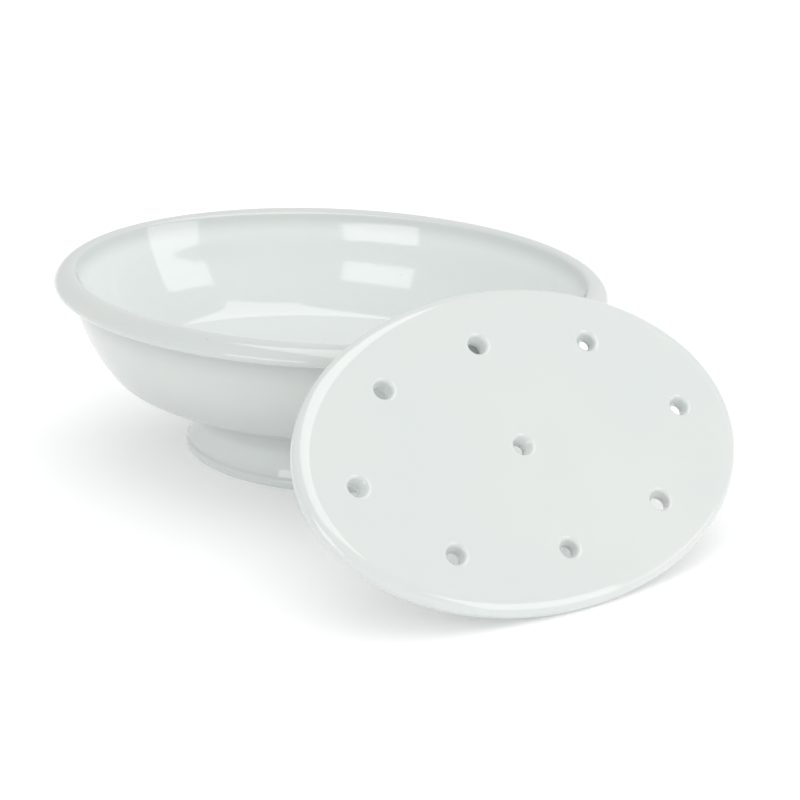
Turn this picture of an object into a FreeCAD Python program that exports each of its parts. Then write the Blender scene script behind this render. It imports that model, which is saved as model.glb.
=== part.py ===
import FreeCAD, Part
import Sketcher
import math
import os

# Porcelain soap dish: a footed oval bowl cast in one piece, and a pierced oval drainer plate
# that is shown leaning against the bowl's near lip with its lower edge on the floor.
# Frame: +Z up, +X along the bowl's long axis, origin at the centre of the foot ring on the floor.

V = FreeCAD.Vector
doc = FreeCAD.newDocument("SoapDish")

# Driving dimensions
sheet = doc.addObject("Spreadsheet::Sheet", "Sizes")
sizes = (
    # bowl, outside
    ("bowl_length", "150"),
    ("bowl_width", "110"),
    ("bowl_height", "50"),
    # rolled lip
    ("lip_overhang", "4.7"),
    ("lip_crest_inset", "4.7"),
    ("lip_crest_radius", "5.2"),
    ("lip_edge_radius", "1.6"),
    ("lip_depth", "5.6"),
    ("lip_inner_radius", "4.5"),
    ("lip_inner_rounding", "3"),
    ("lip_undercut_rounding", "0.8"),
    # dished wall: a flat base curve, a tight haunch and a flared side
    ("wall_thickness", "4.2"),
    ("wall_lean_angle", "8.1"),
    ("haunch_inset", "18.97"),
    ("haunch_rise", "21.32"),
    ("haunch_radius", "12"),
    ("base_lift", "8.8"),
    # foot ring
    ("foot_length", "80"),
    ("foot_width", "62"),
    ("foot_ring_thickness", "5.6"),
    ("foot_edge_radius", "2"),
    ("foot_inner_radius", "1.2"),
    ("foot_waist_inset", "2.2"),
    ("foot_waist_level", "9.5"),
    ("foot_crease_rounding", "1.5"),
    ("sole_ground_off", "0.4"),
    # drainer plate
    ("plate_length", "125"),
    ("plate_width", "87.5"),
    ("plate_thickness", "4.4"),
    ("plate_shoulder_width", "4.1"),
    ("plate_shoulder_depth", "2.6"),
    ("plate_back_rounding", "1.2"),
    ("hole_diameter", "4"),
    ("hole_mouth_rounding", "1.1"),
    ("hole_back_rounding", "0.6"),
    ("long_axis_hole_reach", "47.7"),
    ("short_axis_hole_reach", "28.8"),
    ("diagonal_hole_along", "30.2"),
    ("diagonal_hole_across", "22.9"),
    # how the plate leans
    ("plate_turn_angle", "44.4"),
    ("plate_lean_angle", "47.1"),
    ("plate_slide", "3.6"),
    ("plate_lip_clearance", "0.1"),
    # worked out from the above: the base curve that rises to the haunch, shares that turn the
    # round forms oval, and the level that the foot ring must reach to end inside the dish's wall
    # all the way round
    ("haunch_reach", "=bowl_length / 2 - lip_overhang - haunch_inset"),
    ("haunch_square", "=haunch_reach ^ 2 + haunch_rise ^ 2 - haunch_radius ^ 2"),
    ("base_radius", "=haunch_square / (2 * (haunch_rise - haunch_radius))"),
    ("dish_share", "=(bowl_width / 2 - lip_overhang) / (bowl_length / 2 - lip_overhang)"),
    ("hollow_length", "=bowl_length - 2 * lip_overhang - 2 * wall_thickness"),
    ("hollow_width", "=bowl_width - 2 * lip_overhang - 2 * wall_thickness"),
    ("hollow_share", "=hollow_width / hollow_length"),
    ("foot_share", "=foot_width / foot_length"),
    ("waist_reach", "=foot_length / 2 - foot_waist_inset"),
    ("crease_reach", "=waist_reach * max(1; foot_share / dish_share)"),
    ("crease_level", "=base_lift + base_radius - sqrt(base_radius ^ 2 - crease_reach ^ 2)"),
    ("ring_top", "=crease_level + wall_thickness / 2"),
)
for row, (alias, value) in enumerate(sizes, start=1):
    sheet.set("A%d" % row, alias)
    sheet.set("B%d" % row, value)
    sheet.setAlias("B%d" % row, alias)
doc.recompute()


def size(alias):
    return float(sheet.get(alias))


def plane_of(body, role):
    for feature in body.Origin.OriginFeatures:
        if feature.Role == role:
            return feature


def sketch_on(body, name, role):
    sketch = body.newObject("Sketcher::SketchObject", name)
    sketch.AttachmentSupport = [(plane_of(body, role), "")]
    sketch.MapMode = "FlatFace"
    return sketch


def bind(sketch, constraint, label, expression):
    """Adds a dimension to the sketch, names it and drives it from the sheet."""
    index = sketch.addConstraint(constraint)
    sketch.renameConstraint(index, label)
    sketch.setExpression("Constraints." + label, expression)
    return index


def arc_between(centre, radius, start, end):
    """Counter-clockwise arc about a centre from one point's bearing to another's."""
    first = math.atan2(start[1] - centre[1], start[0] - centre[0])
    last = math.atan2(end[1] - centre[1], end[0] - centre[0])
    if last < first:
        last += 2 * math.pi
    circle = Part.Circle(V(centre[0], centre[1], 0), V(0, 0, 1), radius)
    return Part.ArcOfCircle(circle, first, last)


def segment(start, end):
    return Part.LineSegment(V(start[0], start[1], 0), V(end[0], end[1], 0))


# Dished wall
half_length = size("bowl_length") / 2
half_width = size("bowl_width") / 2
lean = math.radians(size("wall_lean_angle"))
side_top_reach = half_length - size("lip_overhang")
side_top_level = size("bowl_height") - size("lip_depth")

base_centre = (0.0, size("base_lift") + size("base_radius"))

# the small haunch arc sits a set way in from the wall's top and above the middle of the base
haunch = (size("haunch_reach"), size("base_lift") + size("haunch_rise"))


def side_arc_radius():
    """Radius of the arc that touches the haunch and runs into the leaning wall at its top."""
    out = (side_top_reach - haunch[0], side_top_level - haunch[1])
    square_on = out[0] * math.cos(lean) - out[1] * math.sin(lean)
    small = size("haunch_radius")
    return (out[0] ** 2 + out[1] ** 2 - small ** 2) / (2 * (square_on - small))


side_radius = side_arc_radius()
side_centre = (
    side_top_reach - side_radius * math.cos(lean),
    side_top_level + side_radius * math.sin(lean),
)


def beyond(start, through, length):
    """Point at a length from start in the direction of through."""
    gap = math.hypot(through[0] - start[0], through[1] - start[1])
    return (
        start[0] + (through[0] - start[0]) * length / gap,
        start[1] + (through[1] - start[1]) * length / gap,
    )


def dish_body(name, inset_expression, inset, top_expression, top):
    """Turned form of the dish: base curve, haunch and side, drawn in by an inset."""
    body = doc.addObject("PartDesign::Body", name)
    sketch = sketch_on(body, name + "_profile", "XZ_Plane")
    base_r = size("base_radius") - inset
    haunch_r = size("haunch_radius") - inset
    side_r = side_radius - inset
    pole = (0.0, size("base_lift") + inset)
    base_end = beyond(base_centre, haunch, base_r)
    haunch_end = beyond(side_centre, haunch, side_r)
    side_end = (side_centre[0] + side_r * math.cos(lean), side_centre[1] - side_r * math.sin(lean))
    rim = (side_end[0] + (top - side_end[1]) * math.tan(lean), top)
    base_arc = sketch.addGeometry(arc_between(base_centre, base_r, pole, base_end))
    haunch_arc = sketch.addGeometry(arc_between(haunch, haunch_r, base_end, haunch_end))
    side_arc = sketch.addGeometry(arc_between(side_centre, side_r, haunch_end, side_end))
    upper = sketch.addGeometry(segment(side_end, rim))
    lid = sketch.addGeometry(segment(rim, (0.0, top)))
    axis = sketch.addGeometry(segment((0.0, top), pole))
    join = Sketcher.Constraint
    sketch.addConstraint(join("Tangent", base_arc, 2, haunch_arc, 1))
    sketch.addConstraint(join("Tangent", haunch_arc, 2, side_arc, 1))
    sketch.addConstraint(join("Tangent", side_arc, 2, upper, 1))
    sketch.addConstraint(join("Coincident", upper, 2, lid, 1))
    sketch.addConstraint(join("Coincident", lid, 2, axis, 1))
    sketch.addConstraint(join("Coincident", axis, 2, base_arc, 1))
    sketch.addConstraint(join("Horizontal", lid))
    sketch.addConstraint(join("PointOnObject", axis, 1, -2))
    sketch.addConstraint(join("PointOnObject", axis, 2, -2))
    sketch.addConstraint(join("PointOnObject", base_arc, 3, -2))
    bind(sketch, join("Radius", base_arc, base_r), "base_r", "Sizes.base_radius - " + inset_expression)
    bind(
        sketch,
        join("Radius", haunch_arc, haunch_r),
        "haunch_r",
        "Sizes.haunch_radius - " + inset_expression,
    )
    bind(
        sketch,
        join("DistanceY", -1, 1, axis, 2, pole[1]),
        "pole_level",
        "Sizes.base_lift + " + inset_expression,
    )
    bind(sketch, join("DistanceY", -1, 1, lid, 1, top), "lid_level", top_expression)
    bind(
        sketch,
        join("DistanceX", -1, 1, haunch_arc, 3, haunch[0]),
        "haunch_reach",
        "Sizes.haunch_reach",
    )
    bind(
        sketch,
        join("DistanceX", -1, 1, side_arc, 2, side_end[0]),
        "side_top_reach",
        "Sizes.bowl_length / 2 - Sizes.lip_overhang - (%s) * cos(Sizes.wall_lean_angle)" % inset_expression,
    )
    bind(
        sketch,
        join("DistanceY", -1, 1, side_arc, 2, side_end[1]),
        "side_top_level",
        "Sizes.bowl_height - Sizes.lip_depth + (%s) * sin(Sizes.wall_lean_angle)" % inset_expression,
    )
    bind(sketch, join("Angle", upper, math.pi / 2 - lean), "lean_angle", "90 - Sizes.wall_lean_angle")
    turned = body.newObject("PartDesign::Revolution", name + "_turned")
    turned.Profile = sketch
    turned.ReferenceAxis = (sketch, ["V_Axis"])
    turned.Angle = 360
    body.Tip = turned
    return body


lip_mid_level = size("bowl_height") - size("lip_depth") / 2
outer_dish = dish_body(
    "dish_outside", "0", 0.0, "Sizes.bowl_height - Sizes.lip_depth / 2", lip_mid_level
)
hollow_dish = dish_body(
    "dish_hollow",
    "Sizes.wall_thickness",
    size("wall_thickness"),
    "Sizes.bowl_height + Sizes.lip_depth",
    size("bowl_height") + size("lip_depth"),
)


def drawn_oval(name, source, share_expression):
    """The turned form drawn narrower across, so that every level becomes an oval."""
    oval = doc.addObject("Part::Scale", name)
    oval.Base = source
    oval.Uniform = False
    oval.XScale = 1
    oval.ZScale = 1
    oval.setExpression("YScale", share_expression)
    return oval


outer_oval = drawn_oval("dish_outside_oval", outer_dish, "Sizes.dish_share")
hollow_oval = drawn_oval("dish_hollow_oval", hollow_dish, "Sizes.hollow_share")

# Rolled lip
# One even section carried round the rim: a convex top that falls outwards to a small rolled
# edge, a shallow underside that runs back into the wall, and an inner shoulder.
lip_path = doc.addObject("Part::Ellipse", "lip_outline")
lip_path.setExpression("MajorRadius", "Sizes.bowl_length / 2")
lip_path.setExpression("MinorRadius", "Sizes.bowl_width / 2")
lip_path.setExpression("Placement.Base.z", "Sizes.bowl_height - Sizes.lip_depth / 2")

crest = (half_length - size("lip_crest_inset"), size("bowl_height"))
crest_centre = (crest[0], crest[1] - size("lip_crest_radius"))
inner_centre = (crest[0], crest[1] - size("lip_inner_radius"))
edge_x = half_length - size("lip_edge_radius")
reach = size("lip_crest_radius") - size("lip_edge_radius")
edge_centre = (edge_x, crest_centre[1] + math.sqrt(reach ** 2 - (edge_x - crest_centre[0]) ** 2))
crest_end = beyond(crest_centre, edge_centre, size("lip_crest_radius"))
edge_end = (edge_centre[0], edge_centre[1] - size("lip_edge_radius"))
under_end = (side_top_reach - size("wall_thickness") / 2, edge_end[1])
inner_end = (crest[0] - size("lip_inner_radius"), inner_centre[1])
inner_foot = (inner_end[0], edge_end[1])

lip_profile = doc.addObject("Sketcher::SketchObject", "lip_profile")
lip_profile.Placement = FreeCAD.Placement(V(0, 0, 0), FreeCAD.Rotation(V(1, 0, 0), 90))
top_arc = lip_profile.addGeometry(arc_between(crest_centre, size("lip_crest_radius"), crest_end, crest))
edge_arc = lip_profile.addGeometry(arc_between(edge_centre, size("lip_edge_radius"), edge_end, crest_end))
under = lip_profile.addGeometry(segment(edge_end, under_end))
floor_line = lip_profile.addGeometry(segment(under_end, inner_foot))
inner_line = lip_profile.addGeometry(segment(inner_foot, inner_end))
inner_arc = lip_profile.addGeometry(arc_between(inner_centre, size("lip_inner_radius"), crest, inner_end))
tie = Sketcher.Constraint
lip_profile.addConstraint(tie("Tangent", top_arc, 2, inner_arc, 1))
lip_profile.addConstraint(tie("Vertical", top_arc, 3, top_arc, 2))
lip_profile.addConstraint(tie("Tangent", edge_arc, 2, top_arc, 1))
lip_profile.addConstraint(tie("Tangent", under, 1, edge_arc, 1))
lip_profile.addConstraint(tie("Coincident", under, 2, floor_line, 1))
lip_profile.addConstraint(tie("Coincident", floor_line, 2, inner_line, 1))
lip_profile.addConstraint(tie("Tangent", inner_line, 2, inner_arc, 2))
lip_profile.addConstraint(tie("Horizontal", under))
lip_profile.addConstraint(tie("Horizontal", floor_line))
lip_profile.addConstraint(tie("Vertical", inner_line))
bind(lip_profile, tie("Radius", top_arc, size("lip_crest_radius")), "crest_r", "Sizes.lip_crest_radius")
bind(lip_profile, tie("Radius", edge_arc, size("lip_edge_radius")), "edge_r", "Sizes.lip_edge_radius")
bind(lip_profile, tie("Radius", inner_arc, size("lip_inner_radius")), "inner_r", "Sizes.lip_inner_radius")
bind(
    lip_profile,
    tie("DistanceX", -1, 1, top_arc, 2, crest[0]),
    "crest_reach",
    "Sizes.bowl_length / 2 - Sizes.lip_crest_inset",
)
bind(lip_profile, tie("DistanceY", -1, 1, top_arc, 2, crest[1]), "crest_level", "Sizes.bowl_height")
bind(
    lip_profile,
    tie("DistanceX", -1, 1, edge_arc, 3, edge_centre[0]),
    "edge_reach",
    "Sizes.bowl_length / 2 - Sizes.lip_edge_radius",
)
bind(
    lip_profile,
    tie("DistanceX", -1, 1, under, 2, under_end[0]),
    "under_reach",
    "Sizes.bowl_length / 2 - Sizes.lip_overhang - Sizes.wall_thickness / 2",
)

lip = doc.addObject("Part::Sweep", "rolled_lip")
lip.Sections = [lip_profile]
lip.Spine = (lip_path, ["Edge1"])
lip.Solid = True
lip.Frenet = False

# Foot ring
foot_reach = size("foot_length") / 2
foot_edge = size("foot_edge_radius")
foot_in = size("foot_inner_radius")
waist = (size("waist_reach"), size("foot_waist_level"))
foot_inner_reach = foot_reach - size("foot_ring_thickness")
ring_top = size("ring_top")
outer_contact = (foot_reach - foot_edge, 0.0)
inner_contact = (foot_inner_reach + foot_in, 0.0)
inner_turn = (foot_inner_reach, foot_in)

foot_body = doc.addObject("PartDesign::Body", "foot_turned")
foot_sketch = sketch_on(foot_body, "foot_profile", "XZ_Plane")
# the flare is an arc upright at the waist that runs out into the rounded heel
heel_centre = (foot_reach - foot_edge, foot_edge)
rise = waist[1] - heel_centre[1]
step = heel_centre[0] - waist[0]
flare_radius = (step ** 2 + rise ** 2 - foot_edge ** 2) / (2 * (foot_edge + step))
flare_centre = (waist[0] + flare_radius, waist[1])
flare_end = beyond(heel_centre, flare_centre, foot_edge)
heel = foot_sketch.addGeometry(arc_between(heel_centre, foot_edge, outer_contact, flare_end))
flare = foot_sketch.addGeometry(arc_between(flare_centre, flare_radius, waist, flare_end))
neck = foot_sketch.addGeometry(segment(waist, (waist[0], ring_top)))
cap = foot_sketch.addGeometry(segment((waist[0], ring_top), (foot_inner_reach, ring_top)))
inside = foot_sketch.addGeometry(segment((foot_inner_reach, ring_top), inner_turn))
toe = foot_sketch.addGeometry(
    arc_between((foot_inner_reach + foot_in, foot_in), foot_in, inner_turn, inner_contact)
)
sole = foot_sketch.addGeometry(segment(inner_contact, outer_contact))
foot_sketch.addConstraint(tie("Tangent", sole, 2, heel, 1))
foot_sketch.addConstraint(tie("Tangent", heel, 2, flare, 2))
foot_sketch.addConstraint(tie("Tangent", flare, 1, neck, 1))
foot_sketch.addConstraint(tie("Coincident", neck, 2, cap, 1))
foot_sketch.addConstraint(tie("Coincident", cap, 2, inside, 1))
foot_sketch.addConstraint(tie("Tangent", inside, 2, toe, 1))
foot_sketch.addConstraint(tie("Tangent", toe, 2, sole, 1))
foot_sketch.addConstraint(tie("Vertical", neck))
foot_sketch.addConstraint(tie("Horizontal", cap))
foot_sketch.addConstraint(tie("Vertical", inside))
foot_sketch.addConstraint(tie("PointOnObject", sole, 1, -1))
foot_sketch.addConstraint(tie("PointOnObject", sole, 2, -1))
bind(foot_sketch, tie("Radius", heel, foot_edge), "heel_r", "Sizes.foot_edge_radius")
bind(foot_sketch, tie("Radius", toe, foot_in), "toe_r", "Sizes.foot_inner_radius")
bind(
    foot_sketch,
    tie("DistanceX", -1, 1, heel, 3, heel_centre[0]),
    "heel_reach",
    "Sizes.foot_length / 2 - Sizes.foot_edge_radius",
)
bind(foot_sketch, tie("DistanceX", -1, 1, neck, 1, waist[0]), "waist_reach", "Sizes.waist_reach")
bind(foot_sketch, tie("DistanceY", -1, 1, neck, 1, waist[1]), "waist_level", "Sizes.foot_waist_level")
bind(foot_sketch, tie("DistanceY", -1, 1, cap, 1, ring_top), "ring_top", "Sizes.ring_top")
bind(
    foot_sketch,
    tie("DistanceX", -1, 1, inside, 1, foot_inner_reach),
    "inside_reach",
    "Sizes.foot_length / 2 - Sizes.foot_ring_thickness",
)
foot_turned = foot_body.newObject("PartDesign::Revolution", "foot_ring_turned")
foot_turned.Profile = foot_sketch
foot_turned.ReferenceAxis = (foot_sketch, ["V_Axis"])
foot_turned.Angle = 360
foot_body.Tip = foot_turned
foot_oval = drawn_oval("foot_oval", foot_body, "Sizes.foot_share")
foot_oval.setExpression("Placement.Base.z", "-Sizes.sole_ground_off")

# what lies under the floor is ground away, which leaves the ring a flat, unglazed sole
grinding = doc.addObject("Part::Box", "grinding_level")
grinding.setExpression("Length", "Sizes.bowl_length")
grinding.setExpression("Width", "Sizes.bowl_width")
grinding.setExpression("Height", "Sizes.foot_edge_radius")
grinding.setExpression("Placement.Base.x", "-Sizes.bowl_length / 2")
grinding.setExpression("Placement.Base.y", "-Sizes.bowl_width / 2")
grinding.setExpression("Placement.Base.z", "-Sizes.foot_edge_radius")

# The bowl, one casting
casting = doc.addObject("Part::MultiFuse", "bowl_casting")
casting.Shapes = [outer_oval, foot_oval, lip]
hollowed = doc.addObject("Part::Cut", "bowl_hollowed")
hollowed.Base = casting
hollowed.Tool = hollow_oval
ground = doc.addObject("Part::Cut", "bowl_ground")
ground.Base = hollowed
ground.Tool = grinding
doc.recompute()


def ring_edges(shape, lowest, highest, least_reach, most_reach):
    """Numbers of the edges that run right round the oval between two levels, found by their
    reach along +X."""
    around = 49
    found = []
    for number, edge in enumerate(shape.Edges, start=1):
        if edge.Degenerated or not edge.isClosed():
            continue
        points = edge.discretize(around)
        levels = [point.z for point in points]
        reach = max(point.x for point in points)
        if min(levels) >= lowest and max(levels) <= highest and least_reach <= reach <= most_reach:
            found.append(number)
    return found


# Rounded arrises: inside the lip, in the undercut below it, and in the crease above the foot
lip_inside = ring_edges(
    ground.Shape,
    size("bowl_height") - size("lip_inner_radius"),
    size("bowl_height") - size("lip_inner_radius") / 10,
    crest[0] - size("lip_inner_radius"),
    crest[0] - size("lip_inner_radius") / 4,
)
lip_undercut = ring_edges(
    ground.Shape,
    edge_end[1] - 0.01,
    edge_end[1] + 0.01,
    side_top_reach - size("lip_edge_radius") / 2,
    side_top_reach + size("lip_edge_radius") / 2,
)
foot_crease = ring_edges(
    ground.Shape,
    waist[1],
    ring_top,
    waist[0] - size("foot_waist_inset") / 4,
    waist[0] + size("foot_waist_inset") / 4,
)
roundings = []
for rings, rounding in (
    (lip_inside, size("lip_inner_rounding")),
    (lip_undercut, size("lip_undercut_rounding")),
    (foot_crease, size("foot_crease_rounding")),
):
    roundings += [(number, rounding, rounding) for number in rings]
if len(roundings) != 3:
    raise RuntimeError("the three rings to be rounded were not all found: %s" % roundings)

bowl = doc.addObject("Part::Fillet", "bowl")
bowl.Base = ground
bowl.Edges = roundings
bowl.Label = "bowl"

# Drainer plate: an oval slab with a flat face, a wide soft shoulder round the face, a narrow
# upright edge, and nine drain holes with funnelled mouths: one in the middle and eight round it.
# Its own frame has the face at z = 0, looking along +Z, and the long axis along X.
plate = doc.addObject("PartDesign::Body", "drainer_plate")
plate.Label = "drainer_plate"
outline = sketch_on(plate, "plate_outline", "XY_Plane")
oval = outline.addGeometry(Part.Ellipse(V(0, 0, 0), size("plate_length") / 2, size("plate_width") / 2))
outline.exposeInternalGeometry(oval)
long_axis = oval + 1
short_axis = oval + 2
outline.addConstraint(tie("Coincident", oval, 3, -1, 1))
outline.addConstraint(tie("Horizontal", long_axis))
bind(outline, tie("Distance", long_axis, size("plate_length")), "long_axis", "Sizes.plate_length")
bind(outline, tie("Distance", short_axis, size("plate_width")), "short_axis", "Sizes.plate_width")
slab = plate.newObject("PartDesign::Pad", "plate_slab")
slab.Profile = outline
slab.setExpression("Length", "Sizes.plate_thickness")
slab.Reversed = True
doc.recompute()


def edge_names(shape, level, most_length, least_length):
    """Names of the closed edges at one level whose length lies between two lengths."""
    names = []
    for number, edge in enumerate(shape.Edges, start=1):
        if edge.isClosed() and abs(edge.CenterOfMass.z - level) < 0.001:
            if least_length < edge.Length < most_length:
                names.append("Edge%d" % number)
    return names


round_the_plate = math.pi * size("plate_length")
round_a_hole = math.pi * size("hole_diameter") * 1.5
back = -size("plate_thickness")

# the shoulder is a quarter oval, wider than it is deep, cut round the face's edge
shoulder_width = size("plate_shoulder_width")
shoulder_depth = size("plate_shoulder_depth")
plate_end = size("plate_length") / 2
brow = sketch_on(plate, "shoulder_profile", "XZ_Plane")
brow_oval = Part.Ellipse(V(plate_end - shoulder_width, -shoulder_depth, 0), shoulder_width, shoulder_depth)
turn_over = brow.addGeometry(Part.ArcOfEllipse(brow_oval, 0, math.pi / 2))
brow.exposeInternalGeometry(turn_over)
wide_axis = turn_over + 1
deep_axis = turn_over + 2
outer_low = (plate_end, -shoulder_depth)
clear_low = (plate_end + shoulder_width, -shoulder_depth)
clear_high = (plate_end + shoulder_width, shoulder_depth)
inner_high = (plate_end - shoulder_width, shoulder_depth)
inner_low = (plate_end - shoulder_width, 0.0)
ledge = brow.addGeometry(segment(outer_low, clear_low))
outer_wall = brow.addGeometry(segment(clear_low, clear_high))
roof = brow.addGeometry(segment(clear_high, inner_high))
drop_line = brow.addGeometry(segment(inner_high, inner_low))
brow.addConstraint(tie("Horizontal", wide_axis))
brow.addConstraint(tie("Horizontal", turn_over, 1, turn_over, 3))
brow.addConstraint(tie("Vertical", turn_over, 2, turn_over, 3))
brow.addConstraint(tie("Coincident", turn_over, 1, ledge, 1))
brow.addConstraint(tie("Coincident", ledge, 2, outer_wall, 1))
brow.addConstraint(tie("Coincident", outer_wall, 2, roof, 1))
brow.addConstraint(tie("Coincident", roof, 2, drop_line, 1))
brow.addConstraint(tie("Coincident", drop_line, 2, turn_over, 2))
brow.addConstraint(tie("Horizontal", ledge))
brow.addConstraint(tie("Vertical", outer_wall))
brow.addConstraint(tie("Horizontal", roof))
brow.addConstraint(tie("Vertical", drop_line))
bind(brow, tie("Distance", wide_axis, 2 * shoulder_width), "wide_axis", "Sizes.plate_shoulder_width * 2")
bind(brow, tie("Distance", deep_axis, 2 * shoulder_depth), "deep_axis", "Sizes.plate_shoulder_depth * 2")
bind(brow, tie("DistanceX", -1, 1, turn_over, 1, plate_end), "plate_end", "Sizes.plate_length / 2")
bind(
    brow,
    tie("DistanceY", turn_over, 1, -1, 1, shoulder_depth),
    "ledge_level",
    "Sizes.plate_shoulder_depth",
)
bind(
    brow,
    tie("DistanceX", ledge, 1, ledge, 2, shoulder_width),
    "clear_reach",
    "Sizes.plate_shoulder_width",
)
bind(
    brow,
    tie("DistanceY", -1, 1, roof, 1, shoulder_depth),
    "clear_level",
    "Sizes.plate_shoulder_depth",
)
shoulder = plate.newObject("PartDesign::SubtractivePipe", "plate_shoulder")
shoulder.Profile = brow
shoulder.Spine = (outline, ["Edge1"])
doc.recompute()
back_edge = plate.newObject("PartDesign::Fillet", "plate_back_edge")
back_edge.Base = (shoulder, edge_names(shoulder.Shape, back, round_the_plate, round_a_hole))
back_edge.setExpression("Radius", "Sizes.plate_back_rounding")
doc.recompute()

pattern = sketch_on(plate, "drain_pattern", "XY_Plane")
bore = size("hole_diameter") / 2
middle = pattern.addGeometry(Part.Circle(V(0, 0, 0), V(0, 0, 1), bore))
pattern.addConstraint(tie("Coincident", middle, 3, -1, 1))
bind(pattern, tie("Radius", middle, bore), "bore", "Sizes.hole_diameter / 2")


def hole_pair(along, across, label, along_expression, across_expression):
    """Two holes set symmetrically about the middle one; a zero keeps the pair on an axis."""
    one = pattern.addGeometry(Part.Circle(V(along, across, 0), V(0, 0, 1), bore))
    other = pattern.addGeometry(Part.Circle(V(-along, -across, 0), V(0, 0, 1), bore))
    pattern.addConstraint(tie("Equal", middle, one))
    pattern.addConstraint(tie("Equal", middle, other))
    pattern.addConstraint(tie("Symmetric", one, 3, other, 3, -1, 1))
    if along_expression:
        bind(pattern, tie("DistanceX", -1, 1, one, 3, along), label + "_along", along_expression)
    else:
        pattern.addConstraint(tie("PointOnObject", one, 3, -2))
    if across_expression and across < 0:
        bind(pattern, tie("DistanceY", one, 3, -1, 1, -across), label + "_across", across_expression)
    elif across_expression:
        bind(pattern, tie("DistanceY", -1, 1, one, 3, across), label + "_across", across_expression)
    else:
        pattern.addConstraint(tie("PointOnObject", one, 3, -1))


hole_pair(size("long_axis_hole_reach"), 0.0, "long_pair", "Sizes.long_axis_hole_reach", None)
hole_pair(0.0, size("short_axis_hole_reach"), "short_pair", None, "Sizes.short_axis_hole_reach")
hole_pair(
    size("diagonal_hole_along"),
    size("diagonal_hole_across"),
    "rising_pair",
    "Sizes.diagonal_hole_along",
    "Sizes.diagonal_hole_across",
)
hole_pair(
    size("diagonal_hole_along"),
    -size("diagonal_hole_across"),
    "falling_pair",
    "Sizes.diagonal_hole_along",
    "Sizes.diagonal_hole_across",
)
holes = plate.newObject("PartDesign::Pocket", "drain_holes")
holes.Profile = pattern
holes.Type = 1
holes.Midplane = True
solid_volume = back_edge.Shape.Volume
doc.recompute()
if holes.Shape.Volume > solid_volume - 8 * math.pi * bore ** 2 * size("plate_thickness"):
    raise RuntimeError("the drain holes do not go through the plate")

mouths = plate.newObject("PartDesign::Fillet", "hole_mouths")
mouths.Base = (holes, edge_names(holes.Shape, 0.0, round_a_hole, 0.0))
mouths.setExpression("Radius", "Sizes.hole_mouth_rounding")
doc.recompute()
hole_backs = plate.newObject("PartDesign::Fillet", "hole_backs")
hole_backs.Base = (mouths, edge_names(mouths.Shape, back, round_a_hole, 0.0))
hole_backs.setExpression("Radius", "Sizes.hole_back_rounding")
plate.Tip = hole_backs
doc.recompute()

# The plate leans back: its long axis stays level, turned from the bowl's long axis, and its
# face looks up by the lean. It is then slid until its back just clears the lip and its lowest
# edge stands on the floor.
turn = FreeCAD.Rotation(V(0, 0, 1), size("plate_turn_angle"))
tip_back = FreeCAD.Rotation(V(1, 0, 0), 90 - size("plate_lean_angle"))
leaning = turn.multiply(tip_back)
along_plate = leaning.multVec(V(1, 0, 0))
up_plate = leaning.multVec(V(0, 1, 0))
out_of_plate = leaning.multVec(V(0, 0, 1))

leaned = plate.Shape.copy()
leaned.Placement = FreeCAD.Placement(V(0, 0, 0), leaning)
drop = leaned.optimalBoundingBox(False, False).ZMin
seen_along = bowl.Shape.copy()
seen_along.Placement = FreeCAD.Placement(V(0, 0, 0), leaning.inverted())
lip_reach = seen_along.optimalBoundingBox(False, False).ZMax
face_lift = lip_reach + size("plate_lip_clearance") + size("plate_thickness")
climb = -(face_lift * out_of_plate.z + drop) / up_plate.z
centre = along_plate * size("plate_slide") + out_of_plate * face_lift + up_plate * climb
plate.Placement = FreeCAD.Placement(centre, leaning)
doc.recompute()

# Checks and files
pieces = (bowl, plate)
for thing in doc.Objects:
    if "Invalid" in thing.State or "Error" in thing.State:
        raise RuntimeError("%s failed: %s" % (thing.Label, thing.State))
for piece in pieces:
    if piece.Shape.isNull() or not piece.Shape.isValid() or len(piece.Shape.Solids) != 1:
        raise RuntimeError("%s is not one valid solid" % piece.Label)

os.makedirs("parts", exist_ok=True)
for piece in pieces:
    piece.Shape.exportStep("parts/%s.step" % piece.Label)
    print(piece.Label, round(piece.Shape.Volume / 1000, 2), "cm3", piece.Placement.Base)
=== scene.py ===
import math
import bpy
import numpy as np
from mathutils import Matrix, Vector
from mathutils.geometry import delaunay_2d_cdt


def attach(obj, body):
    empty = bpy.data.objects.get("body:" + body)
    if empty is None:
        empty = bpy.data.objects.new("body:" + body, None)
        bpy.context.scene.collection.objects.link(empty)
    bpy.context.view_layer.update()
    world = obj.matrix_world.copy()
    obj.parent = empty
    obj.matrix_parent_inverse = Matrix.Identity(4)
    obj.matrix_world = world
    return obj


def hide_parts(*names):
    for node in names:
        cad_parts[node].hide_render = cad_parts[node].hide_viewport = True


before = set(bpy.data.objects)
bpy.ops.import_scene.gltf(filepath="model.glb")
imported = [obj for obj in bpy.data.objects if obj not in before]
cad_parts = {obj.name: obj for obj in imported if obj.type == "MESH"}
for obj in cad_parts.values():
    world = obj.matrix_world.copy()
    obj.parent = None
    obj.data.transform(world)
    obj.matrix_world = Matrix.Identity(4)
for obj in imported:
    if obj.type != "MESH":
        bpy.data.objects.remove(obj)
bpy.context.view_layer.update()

# A porcelain soap dish: a footed oval bowl, and its pierced oval drainer plate leaning against
# the bowl's near lip. Shapes are worked out in millimetres and put into the meshes in metres.
MM = 0.001

# Camera, in millimetres and degrees
TARGET = (18.82, 1.88, 14.46)
AZIMUTH, ELEVATION, DISTANCE = 12.83, 22.98, 884.36
LENS, SENSOR = 147.49, 36.0

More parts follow.
